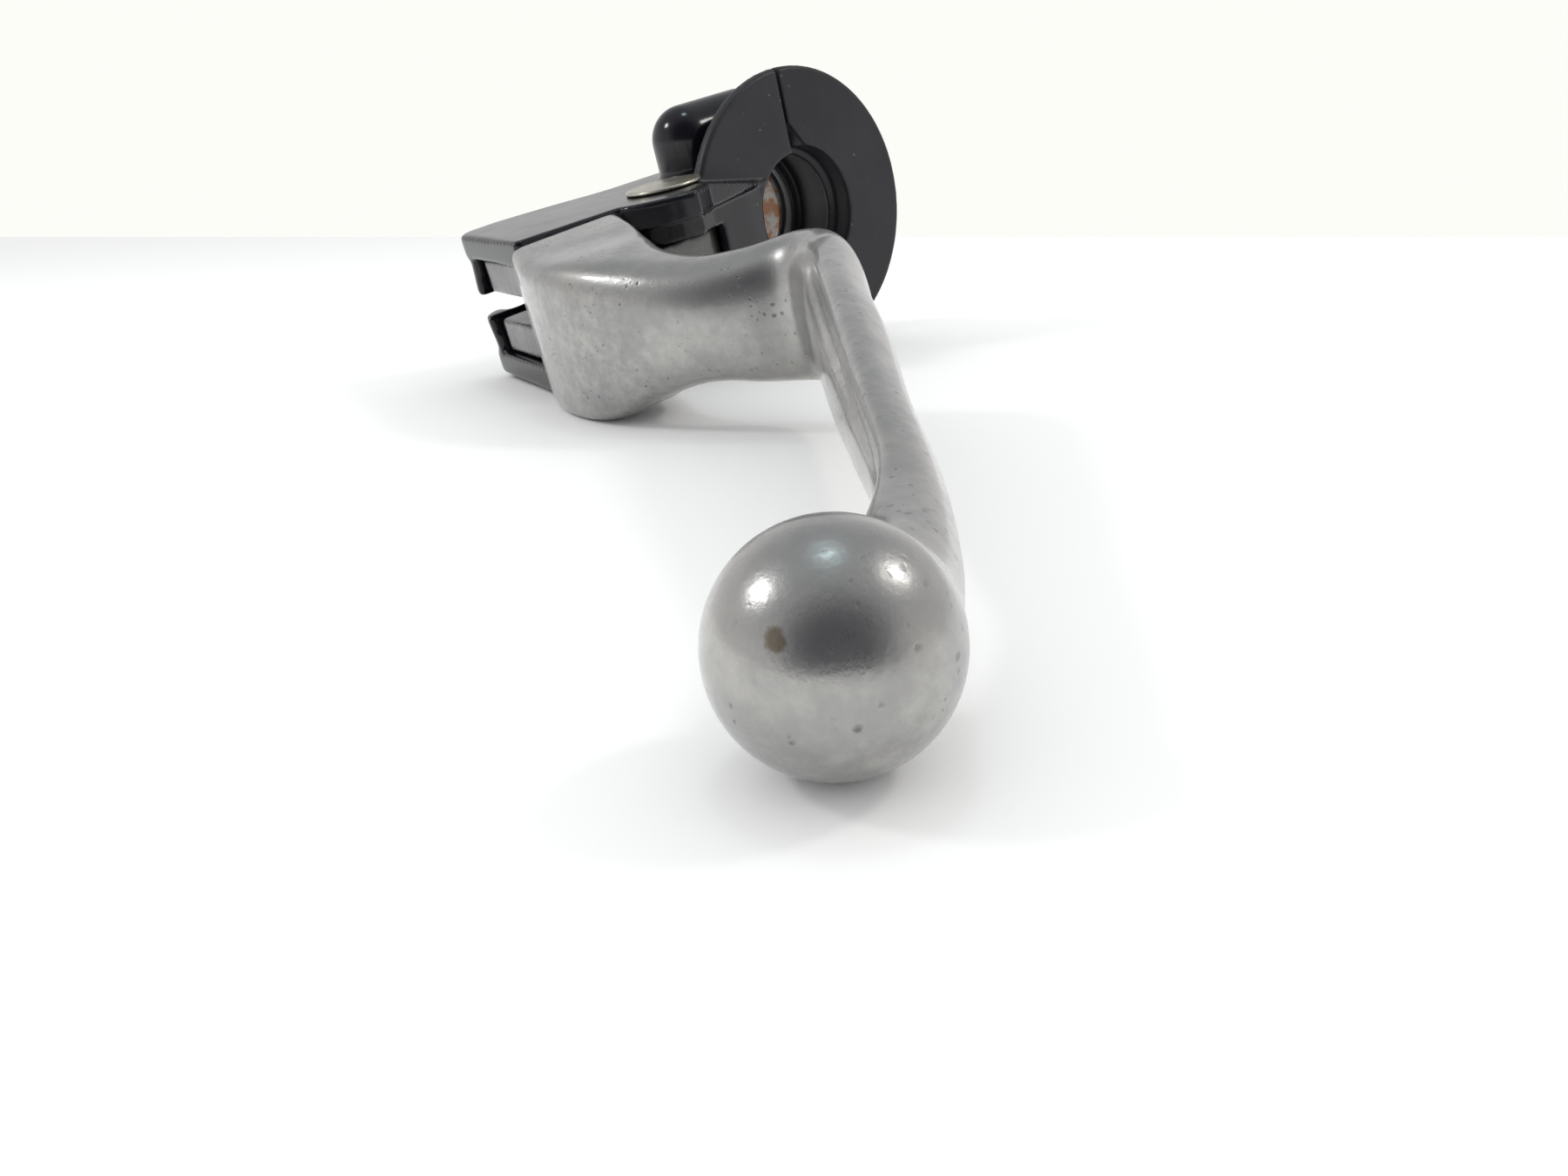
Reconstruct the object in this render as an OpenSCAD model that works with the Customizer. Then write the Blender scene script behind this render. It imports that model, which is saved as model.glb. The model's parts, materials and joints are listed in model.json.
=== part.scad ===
// Left hand lever of a motorcycle clutch, in its split handlebar bracket.
// Origin: centre of the bar bore, on the outboard face of the flange.
// +X runs out along the bar to the grip, -Y is forward, +Z is up the lever's pivot.

/* [Bar clamp] */
// Diameter of the handlebar that the clamp closes on
bar_d = 25.4; // [22:0.1:28.6]
// Radial clearance between the clamp lands and the bar
bar_clearance = 0.1; // [0.05:0.05:0.2]
// Length of the clamp along the bar
clamp_len = 30; // [26:1:40]
// Wall of the clamp body around the bore
clamp_wall = 5.4; // [4:0.2:7]
// Depth of the relief between the clamp lands
relief_depth = 2.6; // [1:0.2:3]
// Width of the clamp land next to the flange
land_w = 7; // [4:0.5:8]
// Gap between the two clamp halves
split_gap = 0.8; // [0.4:0.1:2]

/* [Flange] */
// Diameter of the flange disc that the grip butts against
flange_d = 61.4; // [50:0.2:74]
// Thickness of the flange disc
flange_t = 2.6; // [1.6:0.2:5]
// Depth of the bevel round the flange's rim
rim_bevel = 0.6; // [0.2:0.1:1]

/* [Clamp screws] */
// Thread diameter of the clamp screws
screw_d = 6.35; // [5:0.05:8]
// Distance of the screws behind the flange face
screw_inset = 14; // [12:0.5:18]
// Height of the upper screw above the bar's axis
upper_screw_z = 20.8; // [20:0.2:24]
// Depth of the lower screw below the bar's axis
lower_screw_z = 20.4; // [20:0.2:24]
// Radius of the upper blind boss
upper_boss_r = 7.3; // [6:0.1:8]
// Radius of the lower blind boss
lower_boss_r = 6.4; // [6:0.1:8]
// Reach of the upper blind boss ahead of the bar's axis
upper_boss_reach = 25; // [22:0.5:32]
// Reach of the lower blind boss ahead of the bar's axis
lower_boss_reach = 22; // [20:0.5:34]
// Reach of the screw bosses behind the bar's axis
rear_boss_reach = 13; // [10:0.5:20]

/* [Bracket plates] */
// Height of the bracket over both plates
bracket_h = 30.2; // [27:0.2:36]
// Thickness of each plate
plate_t = 5; // [3:0.1:6]
// Distance of the plates' front edge ahead of the bar's axis
plate_reach = 74; // [68:0.5:84]
// Thickness of the inboard wall that the cable pulls against
stop_wall = 4.6; // [4:0.2:7]
// Distance of that wall's inner face behind the flange face
stop_inset = 30.7; // [30:0.1:34]
// Height of the slit that the cable drops in by
cable_slit = 4.4; // [4.2:0.2:6]
// Diameter of the seat for the cable's ferrule
ferrule_d = 8.4; // [7:0.2:10]

/* [Pivot] */
// Height of the lever's mid-plane above the bar's axis
lever_z = -0.9; // [-2:0.1:2]
// Distance of the pivot ahead of the bar's axis
pivot_reach = 34; // [32:0.5:40]
// Distance of the pivot behind the flange face
pivot_inset = 4; // [2:0.5:8]
// Diameter of the pivot pin
pin_d = 7.9; // [6:0.1:10]
// Diameter of the pivot pin's head
pin_head_d = 16; // [12:0.5:20]
// Thickness of the pivot pin's head
pin_head_t = 0.9; // [0.6:0.1:2]
// Radial running clearance of the pins in their bores
run_clearance = 0.05; // [0.02:0.01:0.1]
// Radius of the plates round the pivot
plate_nose_r = 17.6; // [15:0.2:20]

/* [Lever] */
// Height of the lever's hub at the pivot
hub_h = 11; // [8:0.5:14]
// Radius of the lever's hub
hub_r = 8.6; // [7:0.2:11]
// Side clearance between the lever and the bracket
side_clearance = 0.4; // [0.3:0.05:0.6]
// Height of the cable slot between the lever's ears
ear_slot = 6; // [4.4:0.2:8]
// Diameter of the ball at the lever's tip
ball_d = 19.5; // [15:0.5:25]
// Distance of the ball outboard of the flange face
ball_out = 150.5; // [140:0.5:175]
// Distance of the ball ahead of the bar's axis
ball_reach = 142.4; // [132:0.5:160]
// Length of the lever's thick end along the bar
block_len = 28; // [22:1:32]
// Height of the ball above the lever's mid-plane
ball_rise = 3; // [0:0.1:6]

/* [Cable anchor] */
// Distance of the cable line ahead of the bar's axis
cable_reach = 58; // [57:0.5:62]
// Distance of the anchor pin behind the flange face
anchor_inset = 12; // [10:0.5:16]
// Diameter of the cable anchor pin
anchor_d = 8.8; // [7:0.1:10]
// Diameter of the cross hole for the cable's wire
wire_d = 2.4; // [1.6:0.1:4]

/* [Hidden] */
$fn = 64;

paint = "#26272b";
machined = "#8d8c88";
polished = "#b9bab8";
zinc = "#c9bd96";
bronze = "#a9803f";
nylon = "#d8d2c0";

e = 0.01;
far = 200;
half_h = bracket_h / 2;
cavity_h = half_h - plate_t;

// Bore and clamp
bore_r = bar_d / 2 + bar_clearance;
relief_r = bore_r + relief_depth;
clamp_r = bore_r + clamp_wall;
flange_r = flange_d / 2;
counterbore_step = 1.4;
counterbore_r = bore_r + counterbore_step;
counterbore_len = 5.4;
inner_land_w = 2.6;
end_land_w = 7;
land_groove_w = 2;
land_groove_r = bore_r + 1.3;
end_land_x = clamp_len - end_land_w;
inner_land_x = end_land_x - land_groove_w - inner_land_w;
mouth_depth = 5;
mouth_r = bore_r + 6.4;
mouth_overlap = 0.6;

// Clamp screws
screw_r = screw_d / 2;
screw_clear_r = screw_r + 0.2;
insert_wall = 0.9;
insert_r = screw_r + insert_wall;
insert_len = 2 * screw_d;
drill_point = 3;
cap_r = screw_d * 0.75;
cap_h = screw_d;
hex_r = screw_d * 0.46;
lock_t = 1.6;
lock_cut = 0.8;
lock_cut_angle = 20;
plain_t = 1.2;
washer_gap = 0.3;
seat_depth = 2;
seat_r = cap_r + 0.8;
seat_y = rear_boss_reach - seat_depth;
screw_tip = 12;

// Pivot
pivot = [-pivot_inset, -pivot_reach];
pin_r = pin_d / 2;
pin_bore_r = pin_r + run_clearance;
hub_half = hub_h / 2;
slot_half = hub_half + side_clearance;
bush_wall = 1.6;
bush_r = pin_bore_r + bush_wall;
washer_t = 0.3;
washer_lift = 0.05;
washer_inset = 0.4;
web_nose_r = 13.6;
hub_gap = 0.6;
hub_open_angle = 38;
hub_back_angle = 200;
lever_relief_r = plate_nose_r + 0.5;
clip_t = 0.8;
clip_rim = 2;
clip_mouth = 4;
plate_washer_t = 0.8;
plate_washer_rim = 3;
clip_z = lever_z - half_h - plate_washer_t - clip_t;
clip_groove_depth = 0.7;
pin_tail = 2.6;

// Plates, seen from above
shoulder_x = 2;
nose_start = -acos((shoulder_x + pivot_inset) / plate_nose_r);
nose_end = -16;
front_corner_r = 1.2;
back_y = -5;
wall_x = -stop_inset;
bay_back_y = -pivot_reach - 12;
bay_corner_x = -19.4;
wall_draft = [0.9, 0.5];
ferrule_shoulder = 1.8;
lip_start = -32;
lip_end = -12;
lip_drop = 4.4;

// Lever
ear_half = cavity_h - side_clearance;
shoulder_gap = 0.35;
block_x = shoulder_x + shoulder_gap;
anchor = [-anchor_inset, -cable_reach];
anchor_r = anchor_d / 2;
anchor_bore_r = anchor_r + run_clearance;
anchor_bush_wall = 1;
anchor_bush_r = anchor_bore_r + anchor_bush_wall;
anchor_lift = 0.1;
slot_overrun = 0.5;
slot_end = pivot_reach + lever_relief_r - slot_overrun;
ear_tail = 1;
ball_r = ball_d / 2;
ball_c = [ball_out, -ball_reach];

function arc(c, r, a0, a1, steps) =
    [for (i = [0:steps]) let (a = a0 + (a1 - a0) * i / steps) [c[0] + r * cos(a), c[1] + r * sin(a)]];

// ---- Outlines seen from above ----

// A plate runs from its slanted front edge round the pivot to the flange.
plate_outline = concat(
    arc([shoulder_x - front_corner_r - 1, front_corner_r - plate_reach], front_corner_r, -90, -10, 4),
    arc(pivot, plate_nose_r, nose_start, nose_end, 16),
    [[8.6, -32], [6.4, -26], [3.4, -18], [0.6, lip_end], [0, back_y], [-clamp_len, back_y]],
    [[-clamp_len, -29], [wall_x - 0.3, -34], [wall_x - 3.3, -42], [wall_x - 6.8, -55.8]],
    arc([wall_x - 0.5, -61.2], 6.2, 190, 262, 6)
);

// The web joins the plates behind the lever's hub.
web_outline = concat(
    arc(pivot, web_nose_r, -150, -10, 14),
    [[6.6, -31], [4.6, -25], [2.4, -18], [0.3, lip_end], [0, back_y], [-clamp_len, back_y]],
    [[-clamp_len, -29], [wall_x - 0.3, -34], [wall_x - 3.3, -42], [wall_x - 4.9, -47], [wall_x, bay_back_y]]
);

// The inboard wall closes the plates' inner end; its middle bulges by the casting draft.
wall_outline = concat(
    [[wall_x, bay_back_y + 2], [wall_x - 3.3, -42]],
    [[wall_x - stop_wall - 2, -51], [wall_x - stop_wall - 2.4, -56]],
    arc([wall_x, -61.4], 6.4, 190, 262, 6),
    [[wall_x, -67.2]]
);

// The ears carry the cable's anchor pin between the plates.
ear_outline = concat(
    [[block_x + 3, 0.2 - plate_reach], [block_x + 3, -50]],
    [[-21, -44], [wall_x + 3.3, -47.6], [wall_x + 1.7, -51]],
    arc([wall_x + 4.3, -64.2], 2.6, 180, 258, 5)
);

// The tongue joins the hub to the ears and to the thick end.
tongue_outline = concat(
    arc(pivot, hub_r, 20, 200, 16),
    [[-19, -52], [block_x + 4, -54]],
    [[block_x + 3.4, -49.6]]
);

// ---- Lever arm ----

// Each station: centre x, centre y, rise, half width, half height, squareness.
knuckle = [64, -61];
blade = ball_c - knuckle;
blade_len = norm(blade);
function on_blade(share, bow) =
    [knuckle[0] + share * blade[0] - bow * blade[1] / blade_len,
     knuckle[1] + share * blade[1] + bow * blade[0] / blade_len];
function blade_station(share, bow, rise, half_w, half_t, square) =
    concat(on_blade(share, bow), [rise * ball_rise, half_w, half_t, square]);
function block_station(share, back, rise, half_w, drop, square) =
    [block_x + share * block_len, -plate_reach + back, rise, half_w, half_h - drop, square];
stations = [
    block_station(-0.22, 13.7, 0, 10.9, 0.3, 12),
    block_station(0.19, 7.8, -0.5, 11.8, 0.3, 11),
    block_station(0.61, 2.6, -1.0, 12.0, 0.7, 8),
    block_station(1.0, -0.2, -0.8, 10.8, 1.0, 4.6),
    block_station(1.36, 0.3, 0.5, 9.2, 3.4, 3.2),
    [49.6, -70.7, 0.8, 8.2, 10.2, 2.5],
    [57.4, -66, 0, 7.2, 11.4, 2.4],
    [knuckle[0], knuckle[1] + 0.1, 0.1, 6.3, 12.6, 2.4],
    blade_station(0.077, 3.8, 0.2, 5.4, 12.2, 2.5),
    blade_station(0.24, 4.6, 0.28, 4.8, 10.9, 2.6),
    blade_station(0.42, 5.7, 0.36, 4.6, 9.2, 2.6),
    blade_station(0.60, 6.7, 0.42, 3.8, 7.0, 2.5),
    blade_station(0.772, 7.9, 0.52, 3.4, 5.5, 2.3),
    blade_station(0.896, 6.2, 0.74, 4.3, 5.2, 2.1),
    blade_station(0.972, 2.1, 1, 5.2, 5.8, 2)
];
between = 3;
ring_n = 36;

function catmull(a, b, c, d, t) =
    0.5 * (2 * b + (c - a) * t + (2 * a - 5 * b + 4 * c - d) * t * t + (3 * b - a - 3 * c + d) * t * t * t);

last = len(stations) - 1;
function station(s) =
    let (i = min(floor(s), last - 1))
    catmull(stations[max(i - 1, 0)], stations[i], stations[i + 1], stations[min(i + 2, last)], s - i);

function bulge(v, n) = sign(v) * pow(abs(v), 2 / n);

// Direction of the arm's centre line at s.
step = 0.01;
function heading(s) =
    let (a = station(max(s - step, 0)), b = station(min(s + step, last))) atan2(b[1] - a[1], b[0] - a[0]);

// One ring of the arm, a superellipse standing across the heading.
function ring(q, turn) =
    [for (k = [0:ring_n - 1])
        let (a = 360 * k / ring_n, u = q[3] * bulge(cos(a), q[5]), v = q[4] * bulge(sin(a), q[5]))
        [q[0] - u * sin(turn), q[1] + u * cos(turn), lever_z + q[2] + v]];

module arm() {
    steps = between * last;
    rings = [for (j = [0:steps]) let (s = j / between) ring(station(s), heading(s))];
    points = [for (r = rings) each r];
    sides = [for (j = [0:steps - 1], k = [0:ring_n - 1])
        let (a = j * ring_n + k, b = j * ring_n + (k + 1) % ring_n)
        each [[a, a + ring_n, b], [b, a + ring_n, b + ring_n]]];
    first_cap = [[for (k = [0:ring_n - 1]) k]];
    last_cap = [[for (k = [ring_n - 1:-1:0]) steps * ring_n + k]];
    polyhedron(points, concat(sides, first_cap, last_cap), convexity = 6);
}

// ---- Shared shapes ----

module along_x(x0, x1, r) {
    translate([x0, 0, 0]) rotate([0, 90, 0]) cylinder(h = x1 - x0, r = r);
}

module along_y(y0, y1, r) {
    translate([0, y0, 0]) rotate([-90, 0, 0]) cylinder(h = y1 - y0, r = r);
}

module at_pivot(z0, z1, r) {
    translate([pivot[0], pivot[1], lever_z + z0]) cylinder(h = z1 - z0, r = r);
}

module at_anchor(z0, z1, r) {
    translate([anchor[0], anchor[1], lever_z + z0]) cylinder(h = z1 - z0, r = r);
}

module slab(z0, z1, outline) {
    translate([0, 0, lever_z + z0]) linear_extrude(z1 - z0) polygon(outline);
}

module both_sides() {
    children();
    translate([0, 0, 2 * lever_z]) mirror([0, 0, 1]) children();
}

module tube_at(r_out, r_in, h) {
    difference() {
        cylinder(h = h, r = r_out);
        translate([0, 0, -1]) cylinder(h = h + 2, r = r_in);
    }
}

// Ring between two radii whose axis lies along Y at a clamp screw.
module screw_ring(z, y0, y1, r_out, r_in) {
    translate([-screw_inset, y0, z]) rotate([-90, 0, 0]) tube_at(r_out, r_in, y1 - y0);
}

// ---- Clamp ----

// The flange disc with its bevelled rim, before it is split.
module flange_disc() {
    face_r = flange_r - rim_bevel;
    rotate([0, 90, 0]) rotate_extrude($fn = 128)
        polygon([[0, -flange_t], [flange_r, -flange_t], [flange_r, -rim_bevel], [face_r, 0], [0, 0]]);
}

// What the bar and the relief between its lands take out of both halves.
module bar_space() {
    along_x(-clamp_len - 1, 1, bore_r);
    along_x(-inner_land_x, -land_w, relief_r);
    along_x(-end_land_x, -end_land_x + land_groove_w, land_groove_r);
}

module keep_front() {
    intersection() {
        children();
        translate([-far, -far - split_gap / 2, -far]) cube([2 * far, far, 2 * far]);
    }
}

module keep_rear() {
    intersection() {
        children();
        translate([-far, split_gap / 2, -far]) cube([2 * far, far, 2 * far]);
    }
}

// A blind screw boss with a domed front end and a skirt down to the clamp.
module front_boss(z, r, reach) {
    nose = -reach + r;
    translate([-screw_inset, 0, z]) {
        along_y(nose, 0, r);
        translate([0, nose, 0]) sphere(r);
        translate([0, nose, -z]) linear_extrude(2 * abs(z), center = true) circle(r);
        mirror([0, 0, z > 0 ? 0 : 1]) translate([-r, nose, -abs(z)]) cube([2 * r, -nose, abs(z)]);
    }
}

module insert_hole(z) {
    translate([-screw_inset, 0, z]) {
        along_y(-insert_len, 1, insert_r);
        along_y(-insert_len - drill_point, 1, screw_clear_r);
    }
}

// Wedge that slopes the outboard lips down from the plates to the bore's edge.
module lip_slope() {
    low = half_h - lip_drop;
    translate([0, 0, lever_z]) rotate([90, 0, 90]) linear_extrude(far)
        polygon([[lip_start, half_h], [lip_end, low], [0, low], [0, far], [lip_start, far]]);
}

module bracket_body() {
    both_sides() {
        slab(cavity_h, half_h, plate_outline);
        slab(0, cavity_h + e, web_outline);
        hull() {
            slab(0, 1, wall_outline);
            translate([wall_draft[0], wall_draft[1], lever_z + cavity_h])
                linear_extrude(1) polygon(wall_outline);
        }
    }
    along_x(-clamp_len, 0, clamp_r);
    flange_disc();
}

// Slot that the lever's hub and tongue swing in.
module hub_space() {
    gap_r = hub_r + hub_gap;
    at_pivot(-slot_half, slot_half, gap_r);
    slab(-slot_half, slot_half, concat(
        [pivot + gap_r * [cos(hub_open_angle), sin(hub_open_angle)]],
        [[far / 4, pivot[1] + gap_r], [far / 4, -far], [wall_x, -far]],
        [[wall_x, bay_back_y], [bay_corner_x, bay_back_y]],
        [pivot + gap_r * [cos(hub_back_angle), sin(hub_back_angle)]]
    ));
}

module cable_stop() {
    translate([wall_x - far / 2, -far, lever_z - cable_slit / 2])
        cube([far / 2 + 1, far - cable_reach, cable_slit]);
    translate([0, anchor[1], lever_z]) {
        along_x(wall_x - far / 2, wall_x + 1, cable_slit / 2);
        along_x(wall_x - far / 2, wall_x - ferrule_shoulder, ferrule_d / 2);
    }
}

module lever_bracket() {
    color(paint)
    difference() {
        keep_front() {
            union() {
                bracket_body();
                front_boss(upper_screw_z, upper_boss_r, upper_boss_reach);
                front_boss(-lower_screw_z, lower_boss_r, lower_boss_reach);
            }
        }
        bar_space();
        hub_space();
        cable_stop();
        at_pivot(-far, far, pin_bore_r);
        insert_hole(upper_screw_z);
        insert_hole(-lower_screw_z);
        both_sides() lip_slope();
    }
}

// A rear boss takes the screw's head in a counterbored seat.
module rear_boss(z, r) {
    translate([-screw_inset, 0, z]) along_y(0, rear_boss_reach, r);
    mirror([0, 0, z > 0 ? 0 : 1]) translate([-screw_inset - r, 0, 0]) cube([2 * r, rear_boss_reach, abs(z)]);
}

module rear_screw_hole(z) {
    translate([-screw_inset, 0, z]) {
        along_y(-1, far, screw_clear_r);
        along_y(seat_y, far, seat_r);
    }
}

// The rear half's mouth is chamfered where the halves meet at the bore.
module mouth_wedge() {
    low = bore_r - mouth_overlap;
    for (side = [0, 1]) mirror([0, 0, side])
        translate([-counterbore_len, 0, 0]) rotate([90, 0, 90]) linear_extrude(far)
            polygon([[0, mouth_r], [split_gap / 2, mouth_r], [mouth_depth, low], [0, low]]);
}

module rear_clamp_half() {
    color(paint)
    difference() {
        keep_rear() {
            union() {
                along_x(-clamp_len, 0, clamp_r);
                flange_disc();
                rear_boss(upper_screw_z, upper_boss_r);
                rear_boss(-lower_screw_z, lower_boss_r);
            }
        }
        bar_space();
        along_x(-counterbore_len, 1, counterbore_r);
        mouth_wedge();
        rear_screw_hole(upper_screw_z);
        rear_screw_hole(-lower_screw_z);
    }
}

// ---- Clamp fasteners ----

module plain_washer(z) {
    color(zinc) screw_ring(z, seat_y, seat_y + plain_t, seat_r - washer_gap, screw_clear_r);
}

// A split spring washer: a ring with a narrow cut.
module lock_washer(z) {
    y0 = seat_y + plain_t;
    color(zinc)
    difference() {
        screw_ring(z, y0, y0 + lock_t, cap_r, screw_clear_r);
        translate([-screw_inset, y0 + lock_t / 2, z]) rotate([0, 0, lock_cut_angle])
            translate([-lock_cut / 2, -lock_t, 0]) cube([lock_cut, 2 * lock_t, far / 4]);
    }
}

module clamp_screw(z) {
    head_y = seat_y + plain_t + lock_t;
    color(zinc)
    translate([-screw_inset, 0, z])
    difference() {
        union() {
            along_y(-screw_tip, head_y + e, screw_r - run_clearance);
            along_y(head_y, head_y + cap_h, cap_r);
        }
        translate([0, head_y + cap_h / 2, 0]) rotate([-90, 0, 0]) cylinder(h = cap_h, r = hex_r, $fn = 6);
    }
}

module thread_insert(z) {
    color(machined) screw_ring(z, -insert_len, -split_gap / 2, insert_r, screw_r - run_clearance + e);
}

// ---- Pivot ----

module pivot_pin() {
    color(zinc)
    difference() {
        union() {
            at_pivot(half_h, half_h + pin_head_t, pin_head_d / 2);
            at_pivot(-half_h - pin_tail, half_h + e, pin_r);
        }
        translate([pivot[0], pivot[1], clip_z]) tube_at(pin_r + 1, pin_r - clip_groove_depth, clip_t);
    }
}

module pivot_pin_washer() {
    color(zinc)
    translate([pivot[0], pivot[1], lever_z - half_h - plate_washer_t])
        tube_at(pin_r + plate_washer_rim, pin_bore_r, plate_washer_t);
}

// An open clip that snaps into the pin's groove.
module pivot_snap_ring() {
    color(machined)
    translate([pivot[0], pivot[1], clip_z])
    difference() {
        tube_at(pin_r + clip_rim, pin_r - clip_groove_depth, clip_t);
        translate([-far, -clip_mouth / 2, -1]) cube([far, clip_mouth, clip_t + 2]);
    }
}

module pivot_bush() {
    color(bronze) translate([pivot[0], pivot[1], lever_z - hub_half]) tube_at(bush_r, pin_bore_r, hub_h);
}

module hub_washer(z) {
    color(machined) translate([pivot[0], pivot[1], lever_z + z])
        tube_at(hub_r - washer_inset, pin_bore_r, washer_t);
}

module hub_wave_washer() {
    hub_washer(hub_half + washer_lift);
}

module hub_thrust_washer() {
    hub_washer(-hub_half - washer_lift - washer_t);
}

// ---- Lever ----

module hand_lever() {
    color(polished)
    difference() {
        union() {
            difference() {
                union() {
                    intersection() {
                        arm();
                        translate([block_x, -far, -far]) cube(2 * far);
                    }
                    slab(-ear_half, ear_half, ear_outline);
                }
                at_pivot(-far, far, lever_relief_r);
                translate([-far, -far, lever_z - ear_slot / 2])
                    cube([far - ear_tail, far - slot_end, ear_slot]);
            }
            slab(-hub_half, hub_half, tongue_outline);
            at_pivot(-hub_half, hub_half, hub_r);
            translate([ball_c[0], ball_c[1], lever_z + ball_rise]) sphere(ball_r, $fn = 96);
        }
        at_pivot(-far, far, bush_r);
        at_anchor(-far, far, anchor_bush_r);
    }
}

module anchor_bush(z0) {
    color(nylon) translate([anchor[0], anchor[1], lever_z + z0])
        tube_at(anchor_bush_r, anchor_bore_r, ear_half - ear_slot / 2);
}

module upper_anchor_bush() {
    anchor_bush(ear_slot / 2);
}

module lower_anchor_bush() {
    anchor_bush(-ear_half);
}

// The barrel turns in the ears; the wire crosses it and its nipple seats outboard.
module cable_anchor_pin() {
    color(machined)
    difference() {
        at_anchor(-ear_half + anchor_lift, ear_half - anchor_lift, anchor_r);
        translate([0, anchor[1], lever_z]) {
            along_x(anchor[0] - far, anchor[0] + 1, wire_d / 2);
            along_x(anchor[0] - e, anchor[0] + far, wire_d);
        }
    }
}

lever_bracket();
rear_clamp_half();
hand_lever();
pivot_pin();
pivot_pin_washer();
pivot_snap_ring();
pivot_bush();
hub_wave_washer();
hub_thrust_washer();
cable_anchor_pin();
upper_anchor_bush();
lower_anchor_bush();
clamp_screw(upper_screw_z);  // upper_clamp_screw
clamp_screw(-lower_screw_z);  // lower_clamp_screw
lock_washer(upper_screw_z);  // upper_lock_washer
lock_washer(-lower_screw_z);  // lower_lock_washer
plain_washer(upper_screw_z);  // upper_plain_washer
plain_washer(-lower_screw_z);  // lower_plain_washer
thread_insert(upper_screw_z);  // upper_thread_insert
thread_insert(-lower_screw_z);  // lower_thread_insert
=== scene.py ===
"""Looks of a motorcycle clutch lever in its split handlebar bracket.

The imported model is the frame. The lever and the two clamp castings are made again here as smooth
castings with rounded edges, the pin and the screws as turned pieces, and every other piece keeps its
shape and gets its own finish. Shapes are worked out in millimetres and put down in metres.
"""

import json
import logging
import math
import sys
from dataclasses import dataclass, field
from enum import Enum
from functools import partialmethod
from typing import Callable, Mapping, Sequence

import bpy
import numpy as np
from bpy.types import Material, Mesh, Node, NodeSocket, NodeTree, Object
from mathutils import Matrix, Vector

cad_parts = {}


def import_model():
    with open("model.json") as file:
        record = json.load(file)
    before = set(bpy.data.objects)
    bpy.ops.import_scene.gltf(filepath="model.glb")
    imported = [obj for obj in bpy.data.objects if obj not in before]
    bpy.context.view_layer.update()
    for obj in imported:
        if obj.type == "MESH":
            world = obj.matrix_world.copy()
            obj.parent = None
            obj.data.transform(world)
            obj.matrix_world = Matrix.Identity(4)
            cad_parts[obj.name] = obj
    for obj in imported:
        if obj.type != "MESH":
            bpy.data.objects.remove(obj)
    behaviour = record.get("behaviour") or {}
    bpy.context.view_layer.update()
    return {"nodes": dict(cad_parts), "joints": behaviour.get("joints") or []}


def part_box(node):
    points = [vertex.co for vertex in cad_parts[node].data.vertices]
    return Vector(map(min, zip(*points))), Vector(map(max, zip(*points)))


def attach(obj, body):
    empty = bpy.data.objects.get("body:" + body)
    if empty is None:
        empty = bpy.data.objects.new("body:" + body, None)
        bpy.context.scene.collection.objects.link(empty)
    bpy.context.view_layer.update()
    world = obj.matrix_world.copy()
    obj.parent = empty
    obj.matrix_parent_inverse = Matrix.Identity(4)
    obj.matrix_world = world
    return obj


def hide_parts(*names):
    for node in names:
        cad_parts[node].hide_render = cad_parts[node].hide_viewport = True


log = logging.getLogger("clutch_lever")

MM = 0.001
TURN = 2 * math.pi

# A shell: its points in millimetres, and the vertex numbers of each face.
Shell = tuple[np.ndarray, list]


class Body(Enum):
    """The bodies that the new pieces ride on."""

    BRACKET = "bracket"
    LEVER = "lever"


class Slot(Enum):
    """The record's material slots."""

    BLACK_PAINT = "black_paint"
    FLANGE_PAINT = "flange_paint"
    POLISHED_ALLOY = "polished_alloy"
    ZINC_PLATE = "zinc_plate"
    BARE_STEEL = "bare_steel"
    BRONZE = "bronze"
    NYLON = "nylon"


# ---- meshes ----


def linked(name: str, data: object) -> Object:
    """A new object in the scene, made of a mesh, a camera or a lamp."""
    made = bpy.data.objects.new(name, data)
    bpy.context.scene.collection.objects.link(made)
    return made


def mesh_object(name: str, points: np.ndarray, faces: Sequence[Sequence[int]]) -> Object:
    """Puts a new mesh into the scene.

    Args:
        name: the object's name.
        points: vertex places in millimetres, one row each.
        faces: vertex numbers of each face, turning outwards.

    Returns:
        The new object, at the origin, with its places in metres.
    """
    mesh = bpy.data.meshes.new(name)
    mesh.from_pydata((points * MM).tolist(), [], faces)
    mesh.validate()
    return linked(name, mesh)


def tube_faces(rows: int, columns: int) -> np.ndarray:
    """Quads of a grid closed around its columns: a point, the next one around and the two above them."""
    row, column = np.meshgrid(np.arange(rows - 1), np.arange(columns), indexing="ij")
    after = (column + 1) % columns
    a, b = row * columns + column, row * columns + after
    return np.stack([a, b, b + columns, a + columns], -1).reshape(-1, 4)


def closed_tube(rings: np.ndarray) -> Shell:
    """A tube through rings of points, with a fan to the mean point of each end ring.

    Args:
        rings: an array of rows, columns and xyz; the columns turn anticlockwise seen from the last row.

    Returns:
        The points, and the faces that close them.
    """
    rows, columns = rings.shape[:2]
    points = np.concatenate([rings.reshape(-1, 3), [rings[0].mean(0)], [rings[-1].mean(0)]])
    first, last = rows * columns, rows * columns + 1
    around = np.arange(columns)
    after = (around + 1) % columns
    top = (rows - 1) * columns
    low_fan = np.stack([np.full(columns, first), after, around], -1)
    high_fan = np.stack([np.full(columns, last), top + around, top + after], -1)
    return points, tube_faces(rows, columns).tolist() + low_fan.tolist() + high_fan.tolist()


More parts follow.
